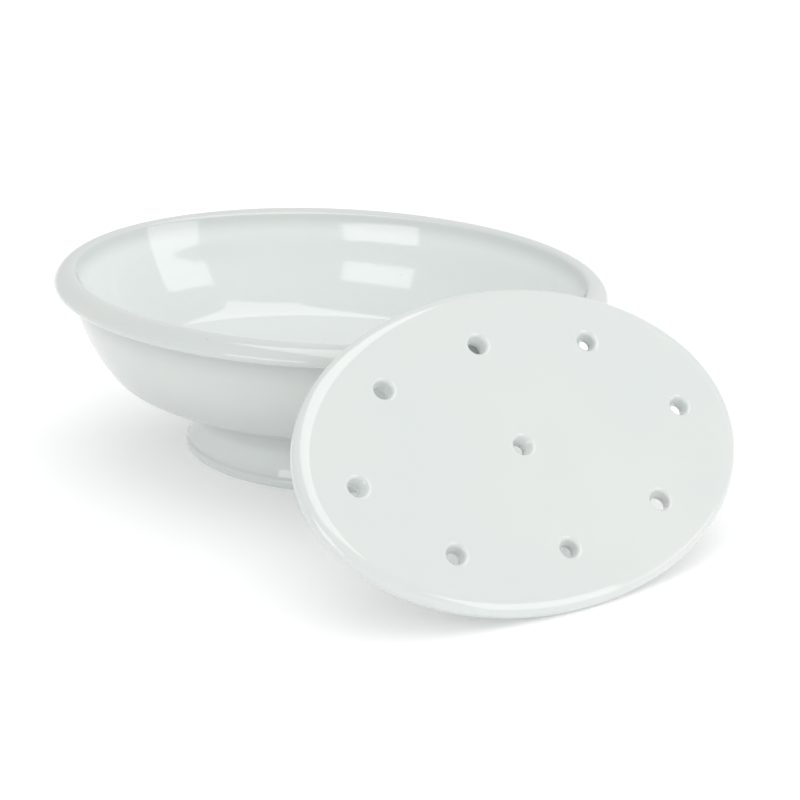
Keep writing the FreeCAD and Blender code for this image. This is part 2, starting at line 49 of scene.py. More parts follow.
# Bowl, in millimetres
BOWL_LENGTH, BOWL_WIDTH, BOWL_HEIGHT = 150.0, 110.0, 50.0
LIP_OVERHANG, LIP_CREST_INSET, LIP_DEPTH = 4.7, 4.7, 5.6
LIP_CREST_RADIUS, LIP_EDGE_RADIUS, LIP_UNDERCUT_ROUNDING = 5.2, 1.6, 0.8
WALL, WALL_LEAN = 4.2, math.radians(8.1)
HAUNCH_INSET, HAUNCH_RISE, HAUNCH_RADIUS, BASE_LIFT = 18.97, 21.32, 12.0, 8.8
FOOT_LENGTH, FOOT_WIDTH, FOOT_THICKNESS = 80.0, 62.0, 5.6
FOOT_EDGE_RADIUS, FOOT_INNER_RADIUS, GROUND_OFF = 2.0, 1.2, 0.4
WAIST_INSET, WAIST_LEVEL, CREASE_ROUNDING, RECESS_ROUNDING = 2.2, 9.5, 1.5, 0.8
OVAL_CHANGE_STOP = 3.0  # the foot's oval has become the dish's this far short of the base's end

# Inside of the bowl's lip, drawn apart for the bowl's ends and its sides: a tight roll that starts
# at a bearing past the crest, then a flare that leans back and dies out into the hollow's own arc
ROLL_RADIUS, END_ROLL_START, SIDE_ROLL_START = 1.2, math.radians(1.0), math.radians(18.0)
FLARE_LEAN, END_FLARE_POWER, SIDE_FLARE_POWER = math.radians(22.5), 3.0, 2.0
HOLLOW_TOP = 30.0  # level below which the hollow's profile is the same all round

# A cast and fired rim is never quite true. Slow waves, as (most, waves round, phase), draw the
# bowl in by a share of its reach and let it dip by millimetres, the more the higher up.
RIM_DRAWS = ((0.0011, 2, 0.7), (0.0006, 3, 2.1))
RIM_DIP = (0.09, 2, -1.1)
TRUE_LEVEL, RIM_LEVEL = 12.0, 46.0

# How far the glaze's white is moved: 1 is all the way to a lighter white, -1 all the way to a greyer one.
# On the bowl this is painted light inside the hollow, up its inside wall and on the foot, and painted shade
# on the haunch, under the lip and on the crest. The plate is moved evenly toward the lighter white. Each
# band of levels has the two levels between which it comes in or fades out.
HOLLOW_PAINTED_LIGHT, INSIDE_WALL_PAINTED_LIGHT, UP_THE_WALL, BELOW_THE_CREST = 0.45, 1.0, (12.0, 26.0), (1.0, 6.0)
FOOT_PAINTED_LIGHT, FOOT_FADES = 0.5, (8.0, 12.0)
HAUNCH_PAINTED_SHADE, HAUNCH_COMES, HAUNCH_FADES = -0.9, (9.0, 15.0), (19.0, 34.0)
UNDER_LIP_PAINTED_SHADE, UNDER_LIP_COMES, UNDER_LIP_FADES = -0.8, (37.0, 43.5), (44.6, 45.6)
CREST_PAINTED_SHADE, CREST_COMES = -0.25, (46.5, 49.0)
PLATE_COAT = 0.12

# Drainer plate, in millimetres
PLATE_LENGTH, PLATE_WIDTH, PLATE_THICKNESS = 125.0, 87.5, 4.4
SHOULDER_WIDTH, SHOULDER_DEPTH, BACK_ROUNDING = 4.1, 2.6, 1.2
PLATE_CENTRE = np.array([64.376, -60.593, 32.509])
PLATE_TURN, PLATE_LEAN = math.radians(44.4), math.radians(47.1)
HOLES = np.array([
    (0, 0), (47.7, 0), (-47.7, 0), (0, 28.8), (0, -28.8),
    (30.2, 22.9), (-30.2, -22.9), (30.2, -22.9), (-30.2, 22.9),
])
# Each hole was pierced and wiped out by hand: radius inside the mouth, radius and depth of the
# throat, and how far the throat strays along and across the plate, in the order of the holes
FUNNELS = np.array([
    (2.75, 1.60, 2.6, -0.41, 0.00),
    (2.70, 1.50, 2.5, 0.32, 0.08),
    (2.80, 1.60, 2.6, -0.40, 0.25),
    (2.75, 1.65, 2.7, 0.05, -0.10),
    (2.80, 1.55, 2.4, 0.45, 0.10),
    (2.80, 1.50, 2.5, 0.60, 0.15),
    (2.80, 1.70, 2.4, 0.35, 0.10),
    (2.85, 1.95, 2.4, 0.62, -0.17),
    (2.75, 1.70, 2.7, 0.30, 0.20),
])
MOUTH_ROUNDING, HOLE_BACK_ROUNDING, FUNNEL_POWER = 0.75, 0.8, 1.1
STRAY_STARTS = 0.1  # share of the throat's depth at which the hole begins to stray

# Layout of the meshes
ROUND = 340  # steps round the bowl
PLATE_ROUND = 480  # steps round the plate
HOLE_ROUND = 64  # steps round a drain hole
FLAT_MARGIN = 0.5  # the flat's outermost ring lies this far in from the shoulder or rounding
HOLE_GUARD = 3.7  # radius of a ring on the flat round each hole
GRID_PITCH = 3.0  # spacing of an even triangular grid on the flat
GRID_ROW = GRID_PITCH * 0.866
GRID_EDGE_GAP, GRID_HOLE_GAP = 2.0, 1.2  # least way to the shoulder and to a guard ring

# Colours of the glaze and the paper
GLAZE_COOL = (0.640, 0.680, 0.664, 1.0)
GLAZE_WARM = (0.668, 0.697, 0.679, 1.0)
# lighter white for painted light on the bowl and an even lighter tone on the plate; greyer white for
# painted shade
LIGHTER_GLAZE_AND_PAINTED_LIGHT = (0.800, 0.838, 0.822, 1.0)
PAINTED_SHADE_GLAZE = (0.565, 0.598, 0.584, 1.0)
SPECK = (0.40, 0.37, 0.31, 1.0)
PAPER = (0.95, 0.95, 0.95, 1.0)
WHITE = (1.0, 1.0, 1.0, 1.0)

PAPER_HALF = 6.0  # metres from the middle of the floor to its edge
PAPER_GLOW = 0.14  # light of its own, as paper lit through from below has
STUDIO_STRENGTH = 0.78


# Aiming, and the camera
def towards(azimuth, elevation):
    """Unit vector from the object to a viewer at an azimuth (0 in front) and an elevation."""
    az, el = math.radians(azimuth), math.radians(elevation)
    return Vector((math.sin(az) * math.cos(el), -math.cos(az) * math.cos(el), math.sin(el)))


def aim(thing, place, target):
    """Puts a light or camera at a place in millimetres, looking at a target."""
    place, target = Vector(place) * MM, Vector(target) * MM
    thing.location = place
    thing.rotation_euler = (target - place).to_track_quat("-Z", "Y").to_euler()


def make_camera():
    """Camera at the photograph's viewing angle."""
    data = bpy.data.cameras.new("camera")
    data.lens = LENS
    data.sensor_width = SENSOR
    camera = bpy.data.objects.new("camera", data)
    bpy.context.scene.collection.objects.link(camera)
    aim(camera, Vector(TARGET) + DISTANCE * towards(AZIMUTH, ELEVATION), TARGET)
    bpy.context.scene.camera = camera


# Meshes
def put_in_mesh(name, points, faces, painted_light_and_tone):
    """Makes an object at the origin from points in millimetres and a list of index rows, with an attribute
    of the points that shifts the glaze's white: painted light and shade on the bowl, an even lighter tone
    on the plate."""
    mesh = bpy.data.meshes.new(name)
    mesh.from_pydata((points * MM).tolist(), [], faces)
    mesh.polygons.foreach_set("use_smooth", np.ones(len(mesh.polygons), dtype=bool))
    mesh.attributes.new("painted_light_and_tone", "FLOAT", "POINT").data.foreach_set("value", painted_light_and_tone)
    mesh.update()
    piece = bpy.data.objects.new(name, mesh)
    bpy.context.scene.collection.objects.link(piece)
    return piece


def loop_edges(steps):
    """Index pairs from each step of a closed loop to the next."""
    step = np.arange(steps)
    return np.stack([step, np.roll(step, -1)], axis=1)


def ring_faces(rings, steps, start=0):
    """Four-cornered faces between neighbouring closed rings of a grid stored ring by ring."""
    step, after = loop_edges(steps).T
    ring = np.arange(rings - 1)[:, None] * steps
    corners = (ring + step, ring + after, ring + steps + after, ring + steps + step)
    return np.stack(corners, axis=-1).reshape(-1, 4) + start


def once_round(steps):
    """Cosine and sine of bearings spread evenly once round."""
    bearing = np.arange(steps) * 2 * math.pi / steps
    return np.cos(bearing), np.sin(bearing)


def arc(centre, radius, start, end, count):
    """Points of an arc: centre + radius x (cosine, sine) of a bearing that runs in even steps the
    short way from the bearing of start to that of end."""
    first = math.atan2(start[1] - centre[1], start[0] - centre[0])
    last = math.atan2(end[1] - centre[1], end[0] - centre[0])
    turn = (last - first + math.pi) % (2 * math.pi) - math.pi
    bearing = first + turn * np.linspace(0, 1, count)
    return np.stack([centre[0] + radius * np.cos(bearing), centre[1] + radius * np.sin(bearing)], axis=1)


def straight(start, end, count):
    """Evenly spaced points of a straight run."""
    share = np.linspace(0, 1, count)[:, None]
    return np.array(start) * (1 - share) + np.array(end) * share


def beyond(start, through, length):
    """Point at a length from start in the direction of through."""
    start, through = np.array(start), np.array(through)
    return start + (through - start) * length / np.linalg.norm(through - start)


def ease(value, low, high):
    """Smooth step from 0 at low to 1 at high: t^2 (3 - 2 t), with t the share of the way."""
    share = np.clip((value - low) / (high - low), 0, 1)
    return share * share * (3 - 2 * share)


# Bowl: places of its profile, as (reach along the long axis, level)
NARROWER = (BOWL_LENGTH - BOWL_WIDTH) / 2
WALL_TOP = (BOWL_LENGTH / 2 - LIP_OVERHANG, BOWL_HEIGHT - LIP_DEPTH)
HAUNCH = (WALL_TOP[0] - HAUNCH_INSET, BASE_LIFT + HAUNCH_RISE)
FOOT_INSIDE = FOOT_LENGTH / 2 - FOOT_THICKNESS
WAIST = (FOOT_LENGTH / 2 - WAIST_INSET, WAIST_LEVEL - GROUND_OFF)
DISH_SHARE = (WALL_TOP[0] - NARROWER) / WALL_TOP[0]
HOLLOW_SHARE = (WALL_TOP[0] - WALL - NARROWER) / (WALL_TOP[0] - WALL)
FOOT_SHARE = FOOT_WIDTH / FOOT_LENGTH
COS, SIN = once_round(ROUND)


def base_arc():
    """Radius and centre of the base curve: it is level in the middle and touches the haunch arc, so
    radius = (reach^2 + rise^2 - haunch radius^2) / (2 (rise - haunch radius))."""
    square = HAUNCH[0] ** 2 + HAUNCH_RISE ** 2 - HAUNCH_RADIUS ** 2
    radius = square / (2 * (HAUNCH_RISE - HAUNCH_RADIUS))
    return radius, (0.0, BASE_LIFT + radius)


def side_arc():
    """Radius and centre of the leaning side's arc: it ends in the wall's lean at the wall's top and
    touches the haunch arc, so radius = (way^2 - haunch radius^2) / (2 (way across the lean - haunch
    radius)), where the way goes from the haunch's centre to the wall's top."""
    out, up = WALL_TOP[0] - HAUNCH[0], WALL_TOP[1] - HAUNCH[1]
    across = out * math.cos(WALL_LEAN) - up * math.sin(WALL_LEAN)
    radius = (out ** 2 + up ** 2 - HAUNCH_RADIUS ** 2) / (2 * (across - HAUNCH_RADIUS))
    centre = (WALL_TOP[0] - radius * math.cos(WALL_LEAN), WALL_TOP[1] + radius * math.sin(WALL_LEAN))
    return radius, centre


BASE_RADIUS, BASE_CENTRE = base_arc()
SIDE_RADIUS, SIDE_CENTRE = side_arc()
BASE_END = beyond(BASE_CENTRE, HAUNCH, BASE_RADIUS)
HAUNCH_END = beyond(SIDE_CENTRE, HAUNCH, SIDE_RADIUS)

# the arcs of the lip's edge and of its crest touch, so their centres are their radii's difference apart
CREST_CENTRE = (BOWL_LENGTH / 2 - LIP_CREST_INSET, BOWL_HEIGHT - LIP_CREST_RADIUS)
CREST = (CREST_CENTRE[0], BOWL_HEIGHT)
EDGE_RISE = math.sqrt((LIP_CREST_RADIUS - LIP_EDGE_RADIUS) ** 2 - (LIP_CREST_INSET - LIP_EDGE_RADIUS) ** 2)
EDGE_CENTRE = (BOWL_LENGTH / 2 - LIP_EDGE_RADIUS, CREST_CENTRE[1] + EDGE_RISE)
UNDER_LEVEL = EDGE_CENTRE[1] - LIP_EDGE_RADIUS


def oval_rings(reach, level, share, less=0.0):
    """Rings round the bowl's middle: x = reach x cosine, y = (reach x share - less) x sine, z =
    level. Each row is a ring, and a level may also change round its ring."""
    return np.stack(np.broadcast_arrays(reach * COS, (reach * share - less) * SIN, level), axis=-1)


def profile_rings(profile, share, less=0.0):
    """Oval rings of a profile of rows of reach and level."""
    return oval_rings(profile[:, :1], profile[:, 1:], share, less)


def base_level(reach, share):
    """Level of the dish's base over an oval ring: base centre's level - square root of (base
    radius^2 - x^2 - (y / dish's share)^2)."""
    x, y = reach * COS, reach * share * SIN
    return BASE_CENTRE[1] - np.sqrt(BASE_RADIUS ** 2 - x ** 2 - (y / DISH_SHARE) ** 2)


def recess():
    """The recess under the dish: the base curve from the middle out, a rounded corner, and the
    foot ring's upright inside."""
    reach = np.linspace(0, 1, 26)[1:, None] * (FOOT_INSIDE - RECESS_ROUNDING)
    ceiling = oval_rings(reach, base_level(reach, FOOT_SHARE), FOOT_SHARE)
    top = base_level(FOOT_INSIDE, FOOT_SHARE)
    share = np.linspace(0, 1, 6)[1:-1, None]
    reach = FOOT_INSIDE - RECESS_ROUNDING * (1 - share) ** 2
    corner = oval_rings(reach, top - RECESS_ROUNDING * share ** 2, FOOT_SHARE)
    drop = np.linspace(0, 1, 8)[:, None]
    level = (top - RECESS_ROUNDING) * (1 - drop) + (FOOT_INNER_RADIUS - GROUND_OFF) * drop
    return [ceiling, corner, oval_rings(FOOT_INSIDE, level, FOOT_SHARE)]


def foot_ring():
    """The foot ring's profile: a rounded toe, the ground sole, a rounded heel, and a hollow flare
    that touches the heel's arc and stands upright at the waist. The sole cuts both roundings off
    at level 0, so it starts and ends at centre -+ square root of (radius^2 - centre's level^2)."""
    toe_centre = (FOOT_INSIDE + FOOT_INNER_RADIUS, FOOT_INNER_RADIUS - GROUND_OFF)
    heel_centre = (FOOT_LENGTH / 2 - FOOT_EDGE_RADIUS, FOOT_EDGE_RADIUS - GROUND_OFF)
    sole_start = toe_centre[0] - math.sqrt(FOOT_INNER_RADIUS ** 2 - toe_centre[1] ** 2)
    sole_end = heel_centre[0] + math.sqrt(FOOT_EDGE_RADIUS ** 2 - heel_centre[1] ** 2)
    # rings lie close together beside the roundings, to keep the sole flat
    sole = sole_start + (sole_end - sole_start) * np.array([0.007, 0.03, 0.25, 0.5, 0.75, 0.97, 0.993])
    rise, step = WAIST_LEVEL - FOOT_EDGE_RADIUS, WAIST_INSET - FOOT_EDGE_RADIUS
    flare_radius = (step ** 2 + rise ** 2 - FOOT_EDGE_RADIUS ** 2) / (2 * (FOOT_EDGE_RADIUS - step))
    flare_centre = (WAIST[0] + flare_radius, WAIST[1])
    heel_end = beyond(heel_centre, flare_centre, FOOT_EDGE_RADIUS)
    profile = np.concatenate([
        arc(toe_centre, FOOT_INNER_RADIUS, (FOOT_INSIDE, toe_centre[1]), (sole_start, 0.0), 7)[1:],
        np.stack([sole, 0 * sole], axis=1),
        arc(heel_centre, FOOT_EDGE_RADIUS, (sole_end, 0.0), heel_end, 12),
        arc(flare_centre, flare_radius, heel_end, WAIST, 14)[1:],
    ])
    return [profile_rings(profile, FOOT_SHARE)]


def underside():
    """The neck above the waist, a crease rounded as a parabola into the base, and the dish's base
    out to the haunch, where the rings' share of reach eases from the foot's to the dish's."""
    crease = base_level(WAIST[0], FOOT_SHARE)
    drop = np.linspace(0, 1, 6)[1:, None]
    neck = oval_rings(WAIST[0], WAIST[1] * (1 - drop) + (crease - CREASE_ROUNDING) * drop, FOOT_SHARE)
    start = WAIST[0] + CREASE_ROUNDING
    share = np.linspace(0, 1, 8)[1:-1, None]
    low, high = crease - CREASE_ROUNDING, base_level(start, FOOT_SHARE)
    level = (1 - share) ** 2 * low + 2 * share * (1 - share) * crease + share ** 2 * high
    rounding = oval_rings(WAIST[0] + CREASE_ROUNDING * share ** 2, level, FOOT_SHARE)
    reach = np.linspace(start, BASE_END[0], 16)[:, None]
    change = ease(reach, start, BASE_END[0] - OVAL_CHANGE_STOP)
    share = FOOT_SHARE + (DISH_SHARE - FOOT_SHARE) * change
    return [neck, rounding, oval_rings(reach, base_level(reach, share), share)]


def side():
    """The haunch's arc and the leaning side's, up to the lip's undercut."""
    profile = np.concatenate([
        arc(HAUNCH, HAUNCH_RADIUS, BASE_END, HAUNCH_END, 12)[1:],
        arc(SIDE_CENTRE, SIDE_RADIUS, HAUNCH_END, WALL_TOP, 30)[1:-1],
    ])
    return [profile_rings(profile, DISH_SHARE)]


def lip():
    """The lip up to its crest: a rounding that touches the wall and the flat underside, then the
    underside, the rolled edge and the convex top."""
    wall = np.array([math.sin(WALL_LEAN), math.cos(WALL_LEAN)])
    meet = (WALL_TOP[0] + (UNDER_LEVEL - WALL_TOP[1]) * math.tan(WALL_LEAN), UNDER_LEVEL)
    touch = meet - wall * LIP_UNDERCUT_ROUNDING / math.tan((math.pi / 2 + WALL_LEAN) / 2)
    centre = touch + LIP_UNDERCUT_ROUNDING * np.array([wall[1], -wall[0]])
    edge_foot, edge = (EDGE_CENTRE[0], UNDER_LEVEL), (BOWL_LENGTH / 2, EDGE_CENTRE[1])
    edge_end = beyond(CREST_CENTRE, EDGE_CENTRE, LIP_CREST_RADIUS)
    profile = np.concatenate([
        arc(centre, LIP_UNDERCUT_ROUNDING, touch, (centre[0], UNDER_LEVEL), 7),
        straight((centre[0], UNDER_LEVEL), edge_foot, 4)[1:],
        arc(EDGE_CENTRE, LIP_EDGE_RADIUS, edge_foot, edge, 9)[1:],
        arc(EDGE_CENTRE, LIP_EDGE_RADIUS, edge, edge_end, 5)[1:],
        arc(CREST_CENTRE, LIP_CREST_RADIUS, edge_end, CREST, 14)[1:],
    ])
    return [profile_rings(profile, 1.0, NARROWER)]


def lip_inside_profile(roll_start, flare_power, share, less):
    """Inside of the lip on one of the bowl's axes: a tight roll over the crest, then the hollow's
    own arc plus a flare.

    The flare is spare x (1 - drop / height)^power: the spare is how far the roll's end stands out
    from the arc, the drop is measured down from there, and height = power x spare / (the roll's
    slope at its end - the arc's slope), so that the flare goes on in the roll's direction.
    """
    off_crest = np.array([-math.sin(roll_start), math.cos(roll_start)])
    roll_centre = CREST_CENTRE + (LIP_CREST_RADIUS - ROLL_RADIUS) * off_crest
    roll_top = CREST_CENTRE + LIP_CREST_RADIUS * off_crest
    roll_end = roll_centre + ROLL_RADIUS * np.array([-math.cos(FLARE_LEAN), math.sin(FLARE_LEAN)])
    roll = np.concatenate([
        arc(CREST_CENTRE, LIP_CREST_RADIUS, CREST, roll_top, 4)[1:],
        arc(roll_centre, ROLL_RADIUS, roll_top, roll_end, 10)[1:],
    ]) - (less, 0)
    level = np.linspace(roll_end[1], HOLLOW_TOP, 22)
    down = SIDE_CENTRE[1] - level
    across = np.sqrt((SIDE_RADIUS - WALL) ** 2 - down ** 2)
    own = share * (SIDE_CENTRE[0] + across)
    spare = roll[-1, 0] - own[0]
    height = flare_power * spare / (math.tan(FLARE_LEAN) - share * down[0] / across[0])
    flare = spare * np.clip(1 - (level[0] - level) / height, 0, 1) ** flare_power
    return np.concatenate([roll, np.stack([own + flare, level], axis=1)[1:]])


def lip_inside():
    """The lip's inside, its two profiles carried round: x = the end profile's reach x cosine, y = the
    side profile's x sine, z = end's level x cosine^2 + side's level x sine^2."""
    end = lip_inside_profile(END_ROLL_START, END_FLARE_POWER, 1.0, 0.0)
    side = lip_inside_profile(SIDE_ROLL_START, SIDE_FLARE_POWER, HOLLOW_SHARE, NARROWER)
    level = end[:, 1:] * COS ** 2 + side[:, 1:] * SIN ** 2
    return [np.stack([end[:, :1] * COS, side[:, :1] * SIN, level], axis=-1)]


def hollow():
    """The hollow down to beside its middle: the arcs of the side, the haunch and the base, each a
    wall's thickness further in."""
    side_radius, base_radius = SIDE_RADIUS - WALL, BASE_RADIUS - WALL
    across = math.sqrt(side_radius ** 2 - (SIDE_CENTRE[1] - HOLLOW_TOP) ** 2)
    side_end = beyond(SIDE_CENTRE, HAUNCH, side_radius)
    base_start = beyond(BASE_CENTRE, HAUNCH, base_radius)
    profile = np.concatenate([
        arc(SIDE_CENTRE, side_radius, (SIDE_CENTRE[0] + across, HOLLOW_TOP), side_end, 28)[1:],
        arc(HAUNCH, HAUNCH_RADIUS - WALL, side_end, base_start, 12)[1:],
        arc(BASE_CENTRE, base_radius, base_start, (0.0, BASE_LIFT + WALL), 40)[1:-1],
    ])
    return [profile_rings(profile, HOLLOW_SHARE)]


def wave(bearing, most, waves, phase):
    """A slow wave round the rim: most x (1 + cosine(waves x bearing + phase)) / 2."""
    return most * (1 + np.cos(waves * bearing + phase)) / 2


def fired(rings):
    """The rings as they come from the kiln, with the rim drawn in and dipped by its waves."""
    x, y, z = np.moveaxis(rings, -1, 0)
    bearing = np.arctan2(y / BOWL_WIDTH, x / BOWL_LENGTH)
    high = ease(z, TRUE_LEVEL, RIM_LEVEL)
    draw = 1 - high * sum(wave(bearing, *drawn) for drawn in RIM_DRAWS)
    return np.stack([x * draw, y * draw, z - high * wave(bearing, *RIM_DIP)], axis=-1)


def bowl_painted_light_and_shade(level, inside):
    """Painted light and shade at a level: painted light as a lighter white up the inside wall and on the
    foot, and painted shade as a greyer white on the haunch, under the lip and on the crest."""
    # painted light inside the hollow, growing up the wall and fading out below the crest
    grown = HOLLOW_PAINTED_LIGHT + (INSIDE_WALL_PAINTED_LIGHT - HOLLOW_PAINTED_LIGHT) * ease(level, *UP_THE_WALL)
    within = grown * ease(BOWL_HEIGHT - level, *BELOW_THE_CREST)
    # outside: painted light on the foot, painted shade on the haunch and under the lip; painted shade on
    # the crest all round
    outside = FOOT_PAINTED_LIGHT * (1 - ease(level, *FOOT_FADES))
    outside = outside + HAUNCH_PAINTED_SHADE * ease(level, *HAUNCH_COMES) * (1 - ease(level, *HAUNCH_FADES))
    outside = outside + UNDER_LIP_PAINTED_SHADE * ease(level, *UNDER_LIP_COMES) * (1 - ease(level, *UNDER_LIP_FADES))
    return np.where(inside, within, outside) + CREST_PAINTED_SHADE * ease(level, *CREST_COMES)


def make_bowl():
    """The bowl's closed skin: rings from the recess's middle out, up over the lip and down to the
    hollow's middle, with a point in each middle.

    A ring's short half-axis is its reach times one share for the dish, another for the hollow and
    another for the foot. For the lip it is the reach less a constant, which keeps the lip's band
    even. Where the foot grows out of the dish, a ring follows the dish's level at each place.
    """
    outside = np.concatenate(recess() + foot_ring() + underside() + side() + lip())
    rings = fired(np.concatenate([outside] + lip_inside() + hollow()))
    count = len(rings)
    middles = [(0, 0, BASE_LIFT), (0, 0, BASE_LIFT + WALL)]
    points = np.concatenate([rings.reshape(-1, 3), middles])
    inside = np.arange(count)[:, None] >= len(outside)
    # painted light and shade for every ring, from its level and whether it lies inside
    painted_light_and_tone = bowl_painted_light_and_shade(rings[..., 2], inside).ravel()

    step, after = loop_edges(ROUND).T
    last_ring = (count - 1) * ROUND
    first_middle, last_middle = np.full(ROUND, count * ROUND), np.full(ROUND, count * ROUND + 1)
    faces = ring_faces(count, ROUND).tolist()
    faces += np.stack([first_middle, after, step], axis=1).tolist()
    faces += np.stack([last_ring + step, last_ring + after, last_middle], axis=1).tolist()
    return put_in_mesh("glazed_bowl", points, faces, np.append(painted_light_and_tone, [0.0, HOLLOW_PAINTED_LIGHT]))


# Drainer plate, worked out lying flat with its face at level 0
def plate_edge():
    """The plate's edge, from a ring on the face to one on the back.

    Its profile is a quarter of an ellipse for the shoulder, the upright side, and a rounding. A
    ring is the outline (a cosine, b sine) less the profile's inset x the outline's unit normal.
    """
    quarter = np.linspace(0, math.pi / 2, 16)
    sparse, back = quarter[::2], -PLATE_THICKNESS
    shoulder = (SHOULDER_WIDTH * (1 - np.sin(quarter)), SHOULDER_DEPTH * (np.cos(quarter) - 1))
    rounding = (BACK_ROUNDING * (1 - np.cos(sparse)), back + BACK_ROUNDING * (1 - np.sin(sparse)))
    profile = np.concatenate([
        [[SHOULDER_WIDTH + FLAT_MARGIN, 0.0]],
        np.stack(shoulder, axis=1),
        straight((0, -SHOULDER_DEPTH), (0, back + BACK_ROUNDING), 3)[1:-1],
        np.stack(rounding, axis=1),
        [[BACK_ROUNDING + FLAT_MARGIN, back]],
    ])
    inset, level = profile[:, :1, None], profile[:, 1:, None]
    a, b = PLATE_LENGTH / 2, PLATE_WIDTH / 2
    c, s = once_round(PLATE_ROUND)
    normal = np.stack([c / a, s / b], axis=-1)
    normal /= np.linalg.norm(normal, axis=-1, keepdims=True)
    flat = np.stack([a * c, b * s], axis=-1) - inset * normal
    return np.concatenate([flat, np.broadcast_to(level, flat.shape[:2] + (1,))], axis=-1)


def drain_holes():
    """The drain holes, each as rings from one on the face to one on the back.

    Radius = throat + (mouth - throat) x (1 - depth / throat's depth)^power, plus a quarter round
    at the mouth and at the way out. The centre strays by a smooth step as the hole goes down.
    """
    mouth, throat, throat_depth, stray = np.split(FUNNELS, [1, 2, 3], axis=1)
    quarter = np.linspace(0, math.pi / 2, 16)
    leaving = PLATE_THICKNESS - HOLE_BACK_ROUNDING
    depth = np.concatenate([
        MOUTH_ROUNDING * (1 - np.cos(quarter)),
        np.linspace(MOUTH_ROUNDING, leaving, 18)[1:],
        leaving + HOLE_BACK_ROUNDING * np.sin(quarter[::3])[1:],
    ])
    narrowing = np.clip(1 - depth / throat_depth, 0, 1)
    at_mouth = np.clip(1 - depth / MOUTH_ROUNDING, 0, 1)
    at_back = np.clip((depth - leaving) / HOLE_BACK_ROUNDING, 0, 1)
    radius = throat + (mouth - throat) * narrowing ** FUNNEL_POWER
    radius = radius + MOUTH_ROUNDING * (1 - np.sqrt(1 - at_mouth ** 2))
    radius = radius + HOLE_BACK_ROUNDING * (1 - np.sqrt(1 - at_back ** 2))
    stray = stray[:, None] * ease(depth / throat_depth, STRAY_STARTS, 1.0)[..., None]

    radius = np.pad(radius, ((0, 0), (1, 1)), constant_values=HOLE_GUARD)
    stray = np.pad(stray, ((0, 0), (1, 1), (0, 0)))
    level = -np.concatenate([[0.0], depth, [PLATE_THICKNESS]])
    circle = np.stack(once_round(HOLE_ROUND), axis=-1)
    flat = HOLES[:, None, None] + stray[:, :, None] + radius[..., None, None] * circle
    return np.concatenate([flat, np.broadcast_to(level[:, None, None], flat.shape[:3] + (1,))], axis=-1)


def flat_grid():
    """Places of an even triangular grid on the flat, clear of the plate's edge and of the holes."""
    columns, rows = math.ceil(PLATE_LENGTH / 2 / GRID_PITCH), math.ceil(PLATE_WIDTH / 2 / GRID_ROW)
    column, row = np.arange(-columns, columns + 1), np.arange(-rows, rows + 1)
    x, y = np.meshgrid(column * GRID_PITCH, row * GRID_ROW)
    x = x + GRID_PITCH / 2 * (row % 2)[:, None]
    grid = np.stack([x.ravel(), y.ravel()], axis=1)
    half_axes = np.array([PLATE_LENGTH, PLATE_WIDTH]) / 2 - SHOULDER_WIDTH - GRID_EDGE_GAP
    on_flat = ((grid / half_axes) ** 2).sum(axis=1) < 1
    from_holes = np.linalg.norm(grid[:, None] - HOLES, axis=2).min(axis=1)
    return grid[on_flat & (from_holes > HOLE_GUARD + GRID_HOLE_GAP)]


def flat_triangles(outline, guards, grid):
    """Triangles that fill an outline round the holes' guard rings, seen anticlockwise, as indices
    into outline, guard rings and grid. One with its corners all on one guard ring fills the hole
    and is left out."""
    places = np.concatenate([outline, guards.reshape(-1, 2), grid])
    holes = len(guards)
    edges = [loop_edges(PLATE_ROUND)]
    edges += [PLATE_ROUND + hole * HOLE_ROUND + loop_edges(HOLE_ROUND) for hole in range(holes)]
    hole_of = np.full(len(places), -1)
    hole_of[PLATE_ROUND:PLATE_ROUND + holes * HOLE_ROUND] = np.repeat(np.arange(holes), HOLE_ROUND)

    keep_inside, nearness = 1, 1e-5
    corners = [Vector(place) for place in places.tolist()]
    found = delaunay_2d_cdt(corners, np.concatenate(edges).tolist(), [], keep_inside, nearness, True)
    own_index = np.array([given[0] for given in found[3]])
    triangles = own_index[np.array(found[2])]
    owner = hole_of[triangles]
    return triangles[(owner[:, 0] < 0) | (owner != owner[:, :1]).any(axis=1)]


def lean(points):
    """Places on the flat plate put where it leans: its centre + each measure x its own axis, along
    the plate, up it and out of its face."""
    ct, st = math.cos(PLATE_TURN), math.sin(PLATE_TURN)
    cl, sl = math.cos(PLATE_LEAN), math.sin(PLATE_LEAN)
    along = np.array([ct, st, 0.0])
    up_the_plate = np.array([-st * sl, ct * sl, cl])
    return PLATE_CENTRE + points @ np.stack([along, up_the_plate, np.cross(along, up_the_plate)])


